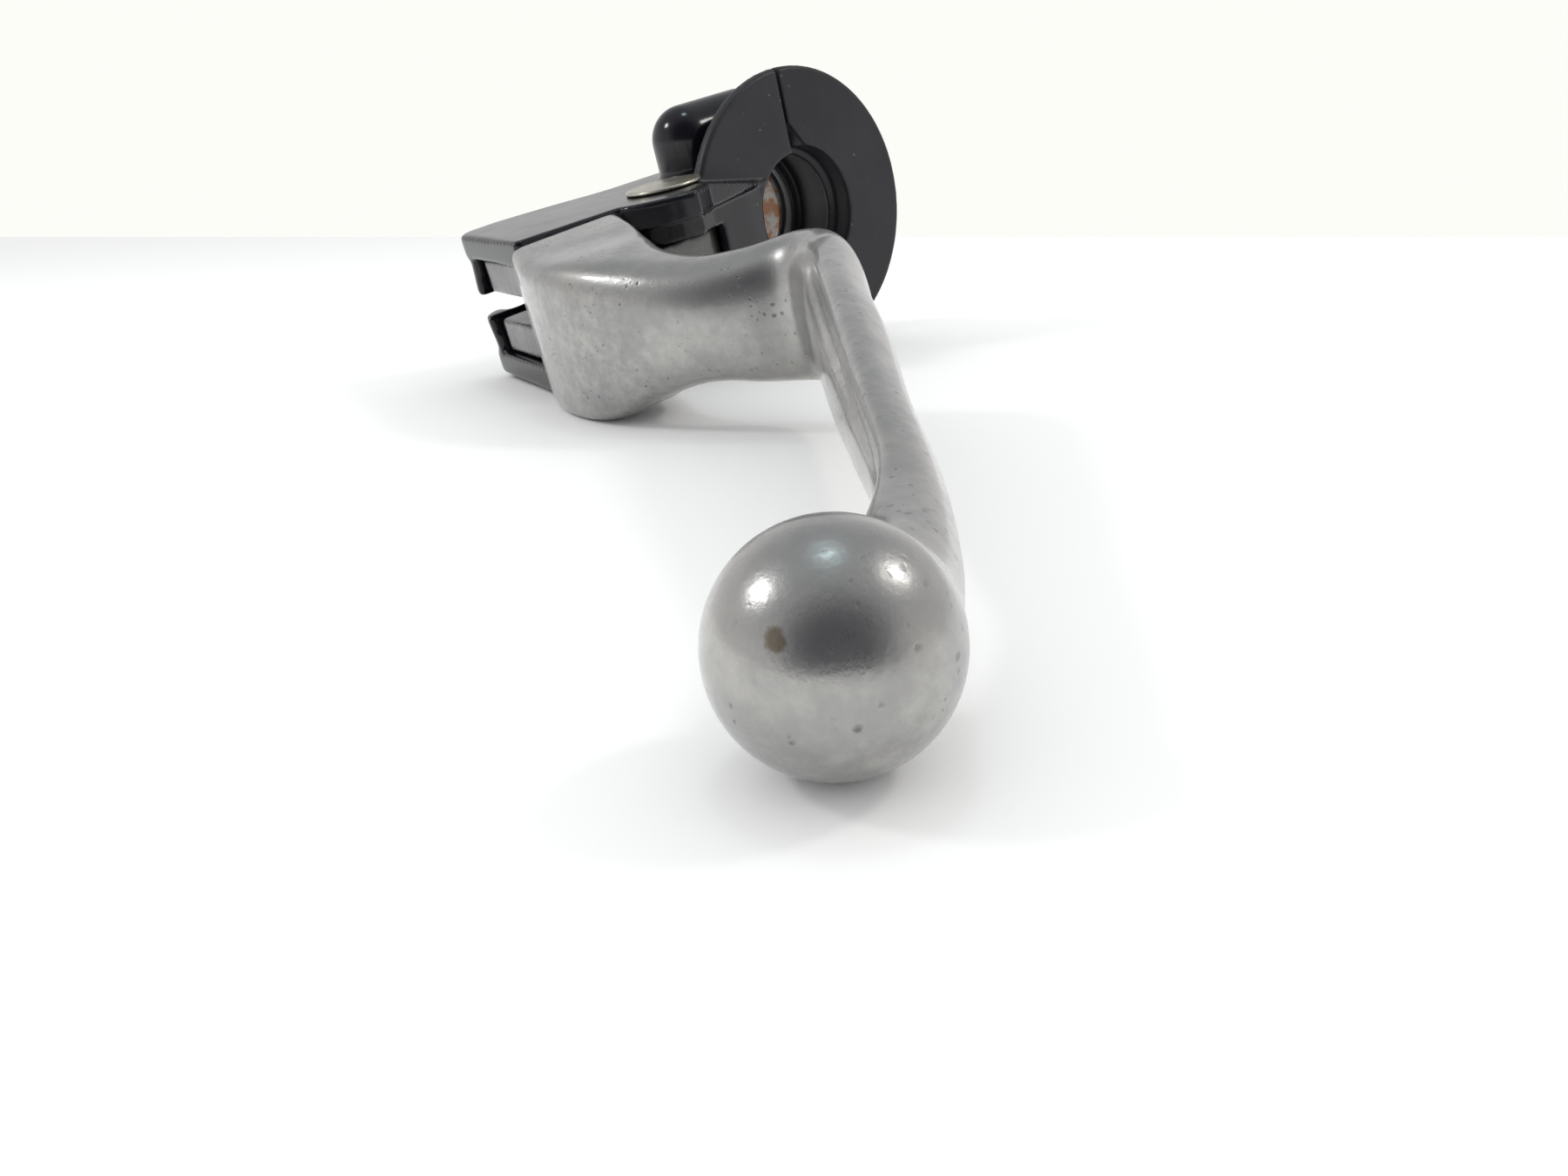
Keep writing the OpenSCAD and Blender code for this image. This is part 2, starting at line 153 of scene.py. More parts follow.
def turned(profile: np.ndarray, columns: int, shape: Callable | None = None) -> Shell:
    """A turned piece about +Z: each row becomes a ring, its radius times (cos, sin) of the angle.

    Args:
        profile: rows of radius and height in millimetres, from one end on the axis to the other.
        columns: points around.
        shape: changes the grid of radii, given that grid and the angles.

    Returns:
        The points and faces.
    """
    angle = np.linspace(0, TURN, columns, endpoint=False)
    radius = np.repeat(profile[:, :1], columns, 1)
    if shape is not None:
        radius = shape(radius, angle)
    height = np.repeat(profile[:, 1:2], columns, 1)
    rings = np.stack([radius * np.cos(angle), radius * np.sin(angle), height], -1)
    return closed_tube(rings)


def prism(outline: np.ndarray, low: float, high: float) -> Shell:
    """An upright prism: the outline at two heights, joined by walls and closed by two flat faces.

    Args:
        outline: anticlockwise corners, x and y in millimetres.
        low: height of the bottom.
        high: height of the top.

    Returns:
        The points and faces.
    """
    count = len(outline)
    levels = [np.column_stack([outline, np.full(count, z)]) for z in (low, high)]
    around = list(range(count))
    walls = tube_faces(2, count).tolist()
    return np.concatenate(levels), walls + [around[::-1], [count + i for i in around]]


def arc(centre: Sequence[float], radius: float, start: float, end: float, steps: int) -> np.ndarray:
    """Points of an arc between two angles in degrees: the centre plus radius times (cos, sin)."""
    angle = np.radians(np.linspace(start, end, steps + 1))
    return np.column_stack([centre[0] + radius * np.cos(angle), centre[1] + radius * np.sin(angle)])


def vertex_array(mesh: Mesh, kind: str = "co") -> np.ndarray:
    """Vertex places of a mesh in its own units, or with the kind "normal" their normals."""
    flat = np.empty(len(mesh.vertices) * 3, np.float32)
    mesh.vertices.foreach_get(kind, flat)
    return flat.reshape(-1, 3).astype(float)


def edge_array(mesh: Mesh) -> np.ndarray:
    """Vertex numbers of each edge."""
    flat = np.empty(len(mesh.edges) * 2, np.int32)
    mesh.edges.foreach_get("vertices", flat)
    return flat.reshape(-1, 2)


def neighbour_mean(values: np.ndarray, edges: np.ndarray) -> np.ndarray:
    """Mean of each vertex's neighbours: sums over the edges both ways, divided by their number."""
    count = len(values)
    ends = np.concatenate([edges[:, 0], edges[:, 1]])
    others = np.concatenate([edges[:, 1], edges[:, 0]])
    number = np.maximum(np.bincount(ends, minlength=count), 1)
    flat = values.reshape(count, -1)
    sums = [np.bincount(ends, weights=flat[others, k], minlength=count) for k in range(flat.shape[1])]
    return (np.stack(sums, -1) / number[:, None]).reshape(values.shape)


def soften(mesh: Mesh, rounds: int, keep_size: bool, weight: np.ndarray | float = 1.0) -> None:
    """Evens a mesh: in each pass a vertex moves half way to its neighbours' mean.

    Args:
        mesh: the mesh to change.
        rounds: number of passes.
        keep_size: whether each pass is followed by one outwards, a little longer, so that only ripples go.
        weight: how much of each step a vertex takes, from 0 to 1.
    """
    points, edges = vertex_array(mesh), edge_array(mesh)
    inward, outward = 0.5, -0.53
    for _ in range(rounds):
        points += weight * inward * (neighbour_mean(points, edges) - points)
        if keep_size:
            points += weight * outward * (neighbour_mean(points, edges) - points)
    mesh.vertices.foreach_set("co", points.astype(np.float32).ravel())
    mesh.update()


def baked(piece: Object) -> None:
    """Replaces a piece's mesh by what its modifiers make of it."""
    graph = bpy.context.evaluated_depsgraph_get()
    done = bpy.data.meshes.new_from_object(piece.evaluated_get(graph))
    piece.modifiers.clear()
    piece.data = done


def cast(
    piece: Object,
    voxel: float,
    rounding: int,
    most_faces: int,
    softer: Callable | None = None,
    softer_rounds: int = 9,
) -> None:
    """Turns overlapping shells into one casting: voxels, rounded edges, evened walls.

    Args:
        piece: the object to change.
        voxel: side of a voxel in millimetres.
        rounding: passes that round the edges.
        most_faces: most triangles that it may keep.
        softer: gives, for the vertex places, how much rounder each place is than the rest.
        softer_rounds: passes for those places.
    """
    ripple_rounds = 6
    grow = Matrix.Scale(1 / MM, 4)
    piece.data.transform(grow)
    remesh = piece.modifiers.new("casting", "REMESH")
    remesh.mode = "VOXEL"
    remesh.voxel_size = voxel
    baked(piece)
    soften(piece.data, ripple_rounds, keep_size=True)
    soften(piece.data, rounding, keep_size=False)
    if softer is not None:
        places = vertex_array(piece.data)
        soften(piece.data, softer_rounds, keep_size=False, weight=softer(places)[:, None])
    triangles = 2 * len(piece.data.polygons)
    if triangles > most_faces:
        thin = piece.modifiers.new("thinned", "DECIMATE")
        thin.ratio = most_faces / triangles
        baked(piece)
    piece.data.transform(grow.inverted())
    log.info("%s: %d triangles", piece.name, sum(len(p.vertices) - 2 for p in piece.data.polygons))


def paint_attribute(mesh: Mesh, name: str, values: np.ndarray) -> None:
    """Stores one number for each vertex under a name that a material can read."""
    layer = mesh.attributes.new(name, "FLOAT", "POINT")
    layer.data.foreach_set("value", values.astype(np.float32))


def mark_edges(mesh: Mesh) -> None:
    """Stores how convex each vertex is, from -1 in a sharp groove to 1 on a sharp edge.

    It is four times the outward step from the neighbours' mean to the vertex, over the mean length of
    its edges, evened once.
    """
    points, edges = vertex_array(mesh), edge_array(mesh)
    step = points - neighbour_mean(points, edges)
    length = np.linalg.norm(points[edges[:, 0]] - points[edges[:, 1]], axis=1)
    reach = np.bincount(edges.ravel(), weights=np.repeat(length, 2), minlength=len(points))
    number = np.maximum(np.bincount(edges.ravel(), minlength=len(points)), 1)
    convex = (step * vertex_array(mesh, "normal")).sum(1) / np.maximum(reach / number, 1e-9)
    convex = 0.5 * (convex + neighbour_mean(convex, edges))
    paint_attribute(mesh, "edge", np.clip(4 * convex, -1, 1))


def merged_copy(node: Object, name: str) -> Object:
    """A copy of a CAD node as a new object, its triangles merged where they lie within two microns."""
    mesh = node.data.copy()
    mesh.name = name
    piece = linked(name, mesh)
    weld = piece.modifiers.new("merged", "WELD")
    weld.merge_threshold = 0.002 * MM
    baked(piece)
    return piece


def settle(piece: Object, body: Body, material: Material, node: str) -> None:
    """Smooths a new piece, gives it its finish and its body, and hides the CAD node it stands for."""
    piece.data.shade_smooth()
    mark_edges(piece.data)
    piece.data.materials.clear()
    piece.data.materials.append(material)
    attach(piece, body.value)
    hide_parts(node)
    log.info("%s stands for %s on %s", piece.name, node, body.value)


# ---- node drawing ----


class Sketch:
    """Draws shader nodes in a tree, with short calls for the ones that repeat."""

    def __init__(self, tree: NodeTree) -> None:
        """Starts on an emptied tree."""
        self.tree = tree
        tree.nodes.clear()

    def node(self, kind: str, inputs: dict | None = None, **settings: object) -> Node:
        """Adds a node.

        Args:
            kind: the node's type, without the leading ShaderNode.
            inputs: for each input's name or number, a value or a socket to link from.
            settings: the node's own properties.

        Returns:
            The node.
        """
        full = kind if kind.startswith("Node") else "ShaderNode" + kind
        made = self.tree.nodes.new(full)
        for name, value in settings.items():
            setattr(made, name, value)
        self.fill(made, inputs or {})
        return made

    def feed(self, socket: NodeSocket, value: object) -> None:
        """Links a socket to another or sets its value."""
        if isinstance(value, NodeSocket):
            self.tree.links.new(value, socket)
        else:
            socket.default_value = value

    def fill(self, node: Node, values: dict) -> None:
        """Feeds several inputs of a node, found by name or number."""
        for name, value in values.items():
            self.feed(node.inputs[name], value)

    def math(self, operation: str, a: object, b: object = 0.0) -> NodeSocket:
        """One arithmetic step on two numbers."""
        return self.node("Math", {0: a, 1: b}, operation=operation).outputs[0]

    plus = partialmethod(math, "ADD")
    minus = partialmethod(math, "SUBTRACT")
    times = partialmethod(math, "MULTIPLY")
    larger = partialmethod(math, "MAXIMUM")

    def remap(self, value: object, low: object, high: object, out_low: float = 0.0, out_high: float = 1.0):
        """Value carried smoothly from one range to another."""
        values = {"Value": value, "From Min": low, "From Max": high, "To Min": out_low, "To Max": out_high}
        return self.node("MapRange", values, interpolation_type="SMOOTHSTEP").outputs[0]

    def blend(self, share: object, a: object, b: object) -> NodeSocket:
        """Colour a turned into colour b by a share."""
        return self.node("Mix", {0: share, 6: a, 7: b}, data_type="RGBA").outputs[2]

    def noise(self, vector: object, scale: object, detail: float = 3.0, rough: float = 0.55):
        """Fractal noise from 0 to 1."""
        values = {"Vector": vector, "Scale": scale, "Detail": detail, "Roughness": rough}
        return self.node("TexNoise", values).outputs[0]

    def place(self) -> NodeSocket:
        """The point's place in the object, in metres."""
        return self.node("TexCoord").outputs["Object"]

    def attribute(self, name: str) -> NodeSocket:
        """A number stored on the mesh."""
        return self.node("Attribute", attribute_name=name).outputs["Fac"]

    def stretched(self, vector: object, scale: Sequence[float], turn: Sequence[float] = (0, 0, 0)):
        """A place turned and then scaled by axis."""
        values = {"Vector": vector, "Rotation": turn, "Scale": scale}
        return self.node("Mapping", values).outputs[0]

    def group(self, made: NodeTree, **values: object) -> NodeSocket:
        """Places a node group, feeds its inputs and gives its only output."""
        return self.node("Group", values, node_tree=made).outputs[0]

    def bump(self, shader: Node, height: object, strength: float, distance: float) -> None:
        """Dents a shader's surface by a height, of which 1 stands for a distance in metres."""
        made = self.node("Bump", {"Strength": strength, "Distance": distance, "Height": height})
        self.feed(shader.inputs["Normal"], made.outputs[0])


def rgb(red: float, green: float, blue: float) -> tuple[float, float, float, float]:
    """A linear colour with full alpha."""
    return (red, green, blue, 1.0)


class Effects:
    """The node groups that several finishes share. Each gives one number."""

    def __init__(self) -> None:
        """Makes each group once, with the numbers its inputs start at, or None for a vector."""
        self.mottle = self.made(self.draw_mottle, Vector=None, Scale=100.0, Contrast=0.3)
        self.specks = self.made(self.draw_specks, Vector=None, Scale=600.0, Share=0.2, Size=0.35)
        self.wear = self.made(self.draw_wear, Edge=0.0, Vector=None, Scale=400.0, Amount=0.4, Ragged=0.5)
        self.scratches = self.made(self.draw_scratches, Vector=None, Width=0.006, Share=0.5)
        self.stain = self.made(self.draw_stain, Vector=None, Centre=None, Radius=0.002, Ragged=0.8)

    @staticmethod
    def made(draw: Callable, **inputs: float | None) -> NodeTree:
        """Makes a group.

        Args:
            draw: draws the group with a sketch from its input sockets, and gives the last socket.
            inputs: each input's number, or None for a vector.

        Returns:
            The group's tree.
        """
        tree = bpy.data.node_groups.new(draw.__name__, "ShaderNodeTree")
        for label, value in inputs.items():
            kind = "NodeSocketVector" if value is None else "NodeSocketFloat"
            socket = tree.interface.new_socket(label, in_out="INPUT", socket_type=kind)
            if value is not None:
                socket.default_value = value
        tree.interface.new_socket("Value", in_out="OUTPUT", socket_type="NodeSocketFloat")
        s = Sketch(tree)
        given, out = s.node("NodeGroupInput"), s.node("NodeGroupOutput")
        s.feed(out.inputs[0], draw(s, given.outputs))
        return tree

    @staticmethod
    def draw_mottle(s: Sketch, given: Mapping) -> NodeSocket:
        """Cloudy patches: two parts of coarse noise and one of finer noise, with the contrast raised."""
        coarse = s.noise(given["Vector"], given["Scale"], 3.0)
        fine = s.noise(given["Vector"], s.times(given["Scale"], 4.3), 4.0, 0.65)
        both = s.plus(s.times(coarse, 0.67), s.times(fine, 0.33))
        half = s.times(given["Contrast"], 0.5)
        return s.remap(both, s.minus(0.5, half), s.plus(0.5, half))

    @staticmethod
    def draw_specks(s: Sketch, given: Mapping) -> NodeSocket:
        """Small ragged spots: in a share of random cells, 1 near the cell's point, 0 past its own radius."""
        wobble = s.node("TexNoise", {"Vector": given["Vector"], "Scale": 1500.0}).outputs["Color"]
        offset = s.node("VectorMath", {0: wobble, 3: 0.0006}, operation="SCALE").outputs[0]
        moved = s.node("VectorMath", {0: given["Vector"], 1: offset}, operation="ADD").outputs[0]
        cells = s.node("TexVoronoi", {"Vector": moved, "Scale": given["Scale"]})
        pick = s.node("SeparateColor", {0: cells.outputs["Color"]})
        chosen = s.math("LESS_THAN", pick.outputs[0], given["Share"])
        radius = s.times(given["Size"], s.plus(pick.outputs[1], 0.35))
        spot = s.remap(cells.outputs["Distance"], s.times(radius, 0.35), radius, 1.0, 0.0)
        return s.times(spot, chosen)

    @staticmethod
    def draw_wear(s: Sketch, given: Mapping) -> NodeSocket:
        """Rubbed edges: the mesh's convexity plus ragged noise, 1 where the sum passes a threshold."""
        rough = s.noise(given["Vector"], given["Scale"], 4.0, 0.65)
        total = s.plus(given["Edge"], s.times(s.minus(rough, 0.5), given["Ragged"]))
        start = s.minus(1.0, given["Amount"])
        return s.remap(total, start, s.plus(start, 0.12))

    @staticmethod
    def draw_scratches(s: Sketch, given: Mapping) -> NodeSocket:
        """Fine lines: stretched noise is near one half only along thin curves; broad noise keeps some."""
        lines = 0.0
        for turn, scale in ((0.35, (30, 420, 300)), (-0.6, (260, 36, 300)), (1.2, (44, 300, 420))):
            laid = s.stretched(given["Vector"], scale, (0.3 * turn, 0.2, turn))
            off = s.math("ABSOLUTE", s.minus(s.noise(laid, 1.0, 1.0), 0.5))
            lines = s.larger(lines, s.remap(off, 0.0, given["Width"], 1.0, 0.0))
        kept = s.noise(given["Vector"], 90.0, 2.0)
        place = s.remap(kept, s.minus(0.85, given["Share"]), s.minus(1.0, given["Share"]))
        return s.times(lines, place)

    @staticmethod
    def draw_stain(s: Sketch, given: Mapping) -> NodeSocket:
        """One ragged patch: 1 near a point, falling to 0 at a radius that noise makes uneven."""
        away = s.node("VectorMath", {0: given["Vector"], 1: given["Centre"]}, operation="DISTANCE")
        rough = s.noise(given["Vector"], 900.0, 4.0, 0.7)
        uneven = s.times(s.times(s.minus(rough, 0.5), given["Ragged"]), 2.0)
        reach = s.times(given["Radius"], s.plus(1.0, uneven))
        return s.remap(away.outputs["Value"], s.times(reach, 0.55), reach, 1.0, 0.0)


def new_material(name: str) -> tuple[Material, Sketch, Node]:
    """A material with a Principled BSDF on its output.

    Args:
        name: the material's name.

    Returns:
        The material, a sketch of its tree and the BSDF.
    """
    material = bpy.data.materials.new(name)
    material.use_nodes = True
    sketch = Sketch(material.node_tree)
    output = sketch.node("OutputMaterial")
    shader = sketch.node("BsdfPrincipled")
    sketch.feed(output.inputs["Surface"], shader.outputs[0])
    return material, sketch, shader


# ---- finishes ----


@dataclass(frozen=True)
class AlloyFinish:
    """Hand-polished cast aluminium: hazy, with a coarser block, pits, stains, polishing streaks and painted
    shade on the walls between the plates.
    """

    light: tuple = rgb(0.42, 0.413, 0.395)
    dark: tuple = rgb(0.26, 0.26, 0.265)
    warm: tuple = rgb(0.43, 0.405, 0.36)
    pit: tuple = rgb(0.07, 0.07, 0.07)
    brown: tuple = rgb(0.12, 0.075, 0.02)
    # painted shade: near black for the hub and the walls between the bracket's plates
    recess_shade: tuple = rgb(0.075, 0.075, 0.072)

    def build(self, effects: Effects, stains: Sequence[tuple[Sequence[float], float]]) -> Material:
        """Makes the material.

        Args:
            effects: the shared node groups.
            stains: for each brown stain its centre in metres and its radius.

        Returns:
            The material.
        """
        material, s, shader = new_material(Slot.POLISHED_ALLOY.value)
        place = s.place()
        coarse = s.attribute("coarse")
        clouds = s.group(effects.mottle, Vector=place, Scale=150.0, Contrast=0.26)
        grain = s.group(effects.mottle, Vector=place, Scale=620.0, Contrast=0.3)
        colour = s.blend(s.times(clouds, 0.5), self.light, self.dark)
        colour = s.blend(s.times(grain, s.remap(coarse, 0.0, 1.0, 0.15, 0.62)), colour, self.dark)
        warmth = s.noise(place, 60.0, 2.0)
        colour = s.blend(s.remap(warmth, 0.5, 0.75, 0.0, 0.4), colour, self.warm)
        pits = s.group(effects.specks, Vector=place, Scale=1150.0, Share=0.3, Size=0.42)
        dots = s.group(effects.specks, Vector=place, Scale=210.0, Share=0.12, Size=0.1)
        clusters = s.remap(s.noise(place, 130.0, 2.0), 0.44, 0.62)
        pits = s.times(pits, s.times(clusters, s.remap(coarse, 0.0, 0.5, 0.45, 1.0)))
        marks = s.larger(pits, dots)
        colour = s.blend(s.times(marks, 0.75), colour, self.pit)
        for centre, radius in stains:
            patch = s.group(effects.stain, Vector=place, Centre=centre, Radius=radius)
            colour = s.blend(s.times(patch, 0.7), colour, self.brown)
        # painted shade: coarseness past 1 marks the walls between the plates and behind the block, darkened
        # towards near black
        colour = s.blend(s.remap(coarse, 1.1, 1.6, 0.0, 0.85), colour, self.recess_shade)
        rough = s.plus(s.remap(coarse, 0.0, 1.0, 0.25, 0.37), s.times(clouds, 0.12))
        rough = s.plus(rough, s.times(marks, 0.2))
        s.fill(shader, {"Base Color": colour, "Roughness": rough, "Metallic": 0.92})
        s.fill(shader, {"Coat Weight": 0.7, "Coat Roughness": 0.11})
        streak_place = s.node("Attribute", attribute_name="sweep").outputs["Vector"]
        streaks = s.noise(s.stretched(streak_place, (2600, 90, 90)), 1.0, 2.0)
        fine = s.noise(place, 1900.0, 3.0)
        height = s.plus(s.times(streaks, 0.12), s.times(fine, 0.5))
        height = s.plus(height, s.times(grain, s.times(coarse, 0.6)))
        height = s.minus(height, s.times(marks, 1.4))
        s.bump(shader, height, 0.35, 0.00012)
        return material


@dataclass(frozen=True)
class PaintFinish:
    """Black paint over die-cast metal: film, scratches, dust, and bare metal where edges rub.

    The flange's disc has its own film. Its zone and that of the bare clamp lands are in metres, along the
    bar and off its axis; the two values of a pair are where a zone starts and where it is full.
    """

    slot: Slot
    film: tuple
    faded: tuple
    roughness: float
    wear: float
    shine: float
    disc_film: tuple = rgb(0.011, 0.011, 0.014)
    disc_faded: tuple = rgb(0.018, 0.018, 0.022)
    disc_roughness: float = 0.4
    disc_start: tuple = (-0.003, -0.0026)
    disc_end: tuple = (0.00008, 0.0003)
    disc_radius: float = 0.031
    land_start: tuple = (-0.0215, -0.0225)
    land_blur: float = 0.0003
    metal: tuple = rgb(0.3, 0.29, 0.27)
    rust: tuple = rgb(0.22, 0.09, 0.035)

    def build(self, effects: Effects, bare_radius: float) -> Material:
        """Makes the material.

        Args:
            effects: the shared node groups.
            bare_radius: distance off the bar's axis within which the lands are bare.

        Returns:
            The material.
        """
        material, s, shader = new_material(self.slot.value)
        place = s.place()
        clouds = s.group(effects.mottle, Vector=place, Scale=70.0, Contrast=0.4)
        colour = s.blend(clouds, self.film, self.faded)
        along, aside, up = s.node("SeparateXYZ", {0: place}).outputs
        squares = s.plus(s.math("POWER", aside, 2.0), s.math("POWER", up, 2.0))
        off_axis = s.math("SQRT", squares)
        disc = s.times(s.remap(along, *self.disc_start), s.math("LESS_THAN", off_axis, self.disc_radius))
        disc = s.times(disc, s.remap(along, *self.disc_end, 1.0, 0.0))
        colour = s.blend(disc, colour, s.blend(clouds, self.disc_film, self.disc_faded))
        lines = s.group(effects.scratches, Vector=place, Width=0.0025, Share=0.3)
        colour = s.blend(s.times(lines, 0.06), colour, self.metal)
        dust = s.group(effects.specks, Vector=place, Scale=650.0, Share=0.05, Size=0.22)
        colour = s.blend(s.times(dust, 0.35), colour, self.metal)
        edge = s.attribute("edge")
        bare = s.group(effects.wear, Edge=edge, Vector=place, Scale=420.0, Amount=self.wear, Ragged=0.6)
        lands = s.remap(off_axis, bare_radius, bare_radius + self.land_blur, 1.0, 0.0)
        lands = s.times(lands, s.remap(along, *self.land_start))
        metal = s.larger(bare, lands)
        rusty = s.remap(s.noise(place, 260.0, 4.0, 0.7), 0.36, 0.54)
        bright = s.blend(s.times(rusty, s.times(lands, 0.85)), self.metal, self.rust)
        colour = s.blend(metal, colour, bright)
        rough = s.remap(disc, 0.0, 1.0, self.roughness, self.disc_roughness)
        rough = s.plus(rough, s.times(clouds, 0.08))
        rough = s.plus(rough, s.times(s.larger(lines, dust), 0.12))
        rough = s.plus(rough, s.times(metal, 0.15))
        s.fill(shader, {"Base Color": colour, "Roughness": rough, "Metallic": s.times(metal, 0.85)})
        s.fill(shader, {"Specular IOR Level": self.shine})
        peel = s.noise(place, 330.0, 2.0)
        height = s.minus(s.times(peel, 0.5), s.times(lines, 0.12))
        height = s.minus(height, s.times(bare, 0.5))
        s.bump(shader, height, 0.12, 0.0001)
        return material


@dataclass(frozen=True)
class PlainMetal:
    """A small piece's surface: cloudy, with specks and fine turning marks."""

    slot: Slot
    light: tuple
    dark: tuple
    roughness: float
    specks: float
    turning: float = 0.0
    metallic: float = 1.0

    def build(self, effects: Effects) -> Material:
        """Makes the material from the shared node groups."""
        material, s, shader = new_material(self.slot.value)
        place = s.place()
        clouds = s.group(effects.mottle, Vector=place, Scale=240.0, Contrast=0.4)
        colour = s.blend(clouds, self.light, self.dark)
        spots = s.group(effects.specks, Vector=place, Scale=900.0, Share=self.specks, Size=0.4)
        colour = s.blend(s.times(spots, 0.6), colour, rgb(0.06, 0.05, 0.04))
        rough = s.plus(self.roughness, s.times(clouds, 0.14))
        rough = s.plus(rough, s.times(spots, 0.2))
        s.fill(shader, {"Base Color": colour, "Roughness": rough, "Metallic": self.metallic})
        grain = s.noise(s.stretched(place, (900, 900, 4000)), 1.0, 2.0)
        height = s.minus(s.times(grain, self.turning), s.times(spots, 0.5))
        s.bump(shader, height, 0.3, 0.00005)
        return material


# ---- the lever ----


@dataclass
class LeverCasting:
    """The cast hand lever: hub, tongue, slotted ears, thick block, blade and ball.

    Places are in millimetres in the frame; heights count from the lever's mid-plane. The crease and the
    hollow beside it spread over some degrees around the arm.
    """

    effects: Effects
    pivot: np.ndarray
    ball: np.ndarray
    mid_z: float
    ball_r: float = 9.75
    hub_r: float = 8.6
    hub_half: float = 5.5
    bush_r: float = 5.6
    relief_r: float = 18.1
    block_x: float = 2.35
    block_front: float = -74.0
    block_len: float = 28.0
    half_h: float = 15.1
    ear_half: float = 9.7
    slot_half: float = 3.0
    slot_end: float = -51.6
    anchor: tuple = (-12.0, -58.0)
    anchor_r: float = 5.45
    knuckle: tuple = (64.0, -61.0)
    crease_spread: float = 30.0
    hollow_after: float = 33.0
    hollow_spread: float = 14.0
    rings_between: int = 14
    columns: int = 120
    voxel: float = 0.46
    rounding: int = 3
    bend_rounding: int = 170
    stations: np.ndarray = field(init=False)

    def __post_init__(self) -> None:
        """Lays the stations along the arm.

        A station is x, y, rise, half width, half height, squareness, and the crease's height, the angle
        it sits at and the depth of its hollow. A row of the block starts instead with its share of the
        block's length and its distance behind the front, and has a drop for its half height. A row of
        the blade starts with its share of the way from the bend to the ball and its bow to the left.
        """
        smooth = (0, 93, 0)
        block = [
            (-0.22, 13.7, 0.0, 10.9, 0.3, 16.0),
            (0.19, 7.8, -0.5, 11.8, 0.3, 14.0),
            (0.61, 2.6, -1.0, 12.0, 0.7, 9.0),
            (1.0, -0.2, -0.8, 10.8, 1.0, 5.4),
            (1.36, 0.3, 0.5, 9.2, 3.4, 3.2),
        ]
        neck = [
            (49.6, -70.7, 0.8, 8.2, 10.2, 2.5, *smooth),
            (57.4, -66.0, 0.0, 7.2, 11.4, 2.4, *smooth),
            (self.knuckle[0], self.knuckle[1] + 0.1, 0.1, 6.3, 12.6, 2.4, *smooth),
        ]
        blade = [
            (0.077, 3.8, 0.6, 5.4, 12.2, 2.5, 0.1, 92, 0.2),
            (0.24, 4.6, 0.84, 4.8, 10.9, 2.6, 0.7, 93, 0.9),
            (0.42, 5.7, 1.08, 4.6, 9.2, 2.6, 0.8, 94, 1.0),
            (0.60, 6.7, 1.26, 3.8, 7.0, 2.5, 0.7, 98, 0.8),
            (0.772, 7.9, 1.56, 3.4, 5.5, 2.3, 0.6, 112, 0.7),
            (0.896, 6.4, 2.22, 4.5, 5.3, 2.1, 0.2, 120, 0.2),
            (0.972, 4.2, 3.0, 5.75, 6.0, 2.0, 0, 120, 0),
            (1.0, 3.9, 3.0, 5.85, 6.0, 2.0, 0, 120, 0),
        ]
        rows = []
        for share, back, rise, half, drop, squareness in block:
            x, y = self.block_x + share * self.block_len, self.block_front + back
            rows.append((x, y, rise, half, self.half_h - drop, squareness, *smooth))
        rows += neck
        start = np.array(self.knuckle)
        along = self.ball[:2] - start
        left = np.array([-along[1], along[0]]) / np.hypot(*along)
        for share, bow, *rest in blade:
            rows.append((*(start + share * along + bow * left), *rest))
        self.stations = np.array(rows, float)

    def station(self, at: np.ndarray) -> np.ndarray:
        """Stations between the given ones: a Catmull-Rom curve through the four that are nearest."""
        last = len(self.stations) - 1
        index = np.minimum(np.floor(at).astype(int), last - 1)
        t = (at - index)[:, None]
        a, b = self.stations[np.maximum(index - 1, 0)], self.stations[index]
        c, d = self.stations[index + 1], self.stations[np.minimum(index + 2, last)]
        square, cube = 2 * a - 5 * b + 4 * c - d, 3 * b - a - 3 * c + d
        return 0.5 * (2 * b + (c - a) * t + square * t**2 + cube * t**3)

    def arm_rings(self) -> np.ndarray:
        """Rings of the arm.

        Each is a superellipse across the path: half width and half height times the signed 2/n powers of
        the angle's cosine and sine, n being its squareness. A crease shaped like a tent is added on top,
        and a hollow shaped like a bell is taken off behind it.
        """
        last = len(self.stations) - 1
        at = np.linspace(0, last, last * self.rings_between + 1)
        step = 0.01
        ahead = self.station(np.minimum(at + step, last)) - self.station(np.maximum(at - step, 0))
        heading = ahead[:, :2] / np.linalg.norm(ahead[:, :2], axis=1)[:, None]
        columns = self.station(at).T[:, :, None]
        x, y, rise, half_width, half_height, squareness, crease, crease_at, hollow = columns
        angle = np.linspace(0, TURN, self.columns, endpoint=False)[None]
        power = 2 / squareness
        across = half_width * np.sign(np.cos(angle)) * np.abs(np.cos(angle)) ** power
        up = half_height * np.sign(np.sin(angle)) * np.abs(np.sin(angle)) ** power
        beyond = np.degrees(angle) - crease_at
        tent = np.clip(1 - np.abs(beyond) / self.crease_spread, 0, 1)
        dip = np.exp(-(((beyond - self.hollow_after) / self.hollow_spread) ** 2))
        grow = 1 + (crease * tent - hollow * dip) / np.hypot(across, up)
        across, up = across * grow, up * grow
        outline = [x - across * heading[:, 1:2], y + across * heading[:, 0:1], self.mid_z + rise + up]
        return np.stack(outline, -1)

    def ball_shell(self) -> Shell:
        """The ball: rings of a sphere from pole to pole."""
        rise = np.linspace(-math.pi / 2, math.pi / 2, 61)[1:-1]
        points, faces = turned(np.column_stack([np.cos(rise), np.sin(rise)]) * self.ball_r, 120)
        return points + self.ball, faces

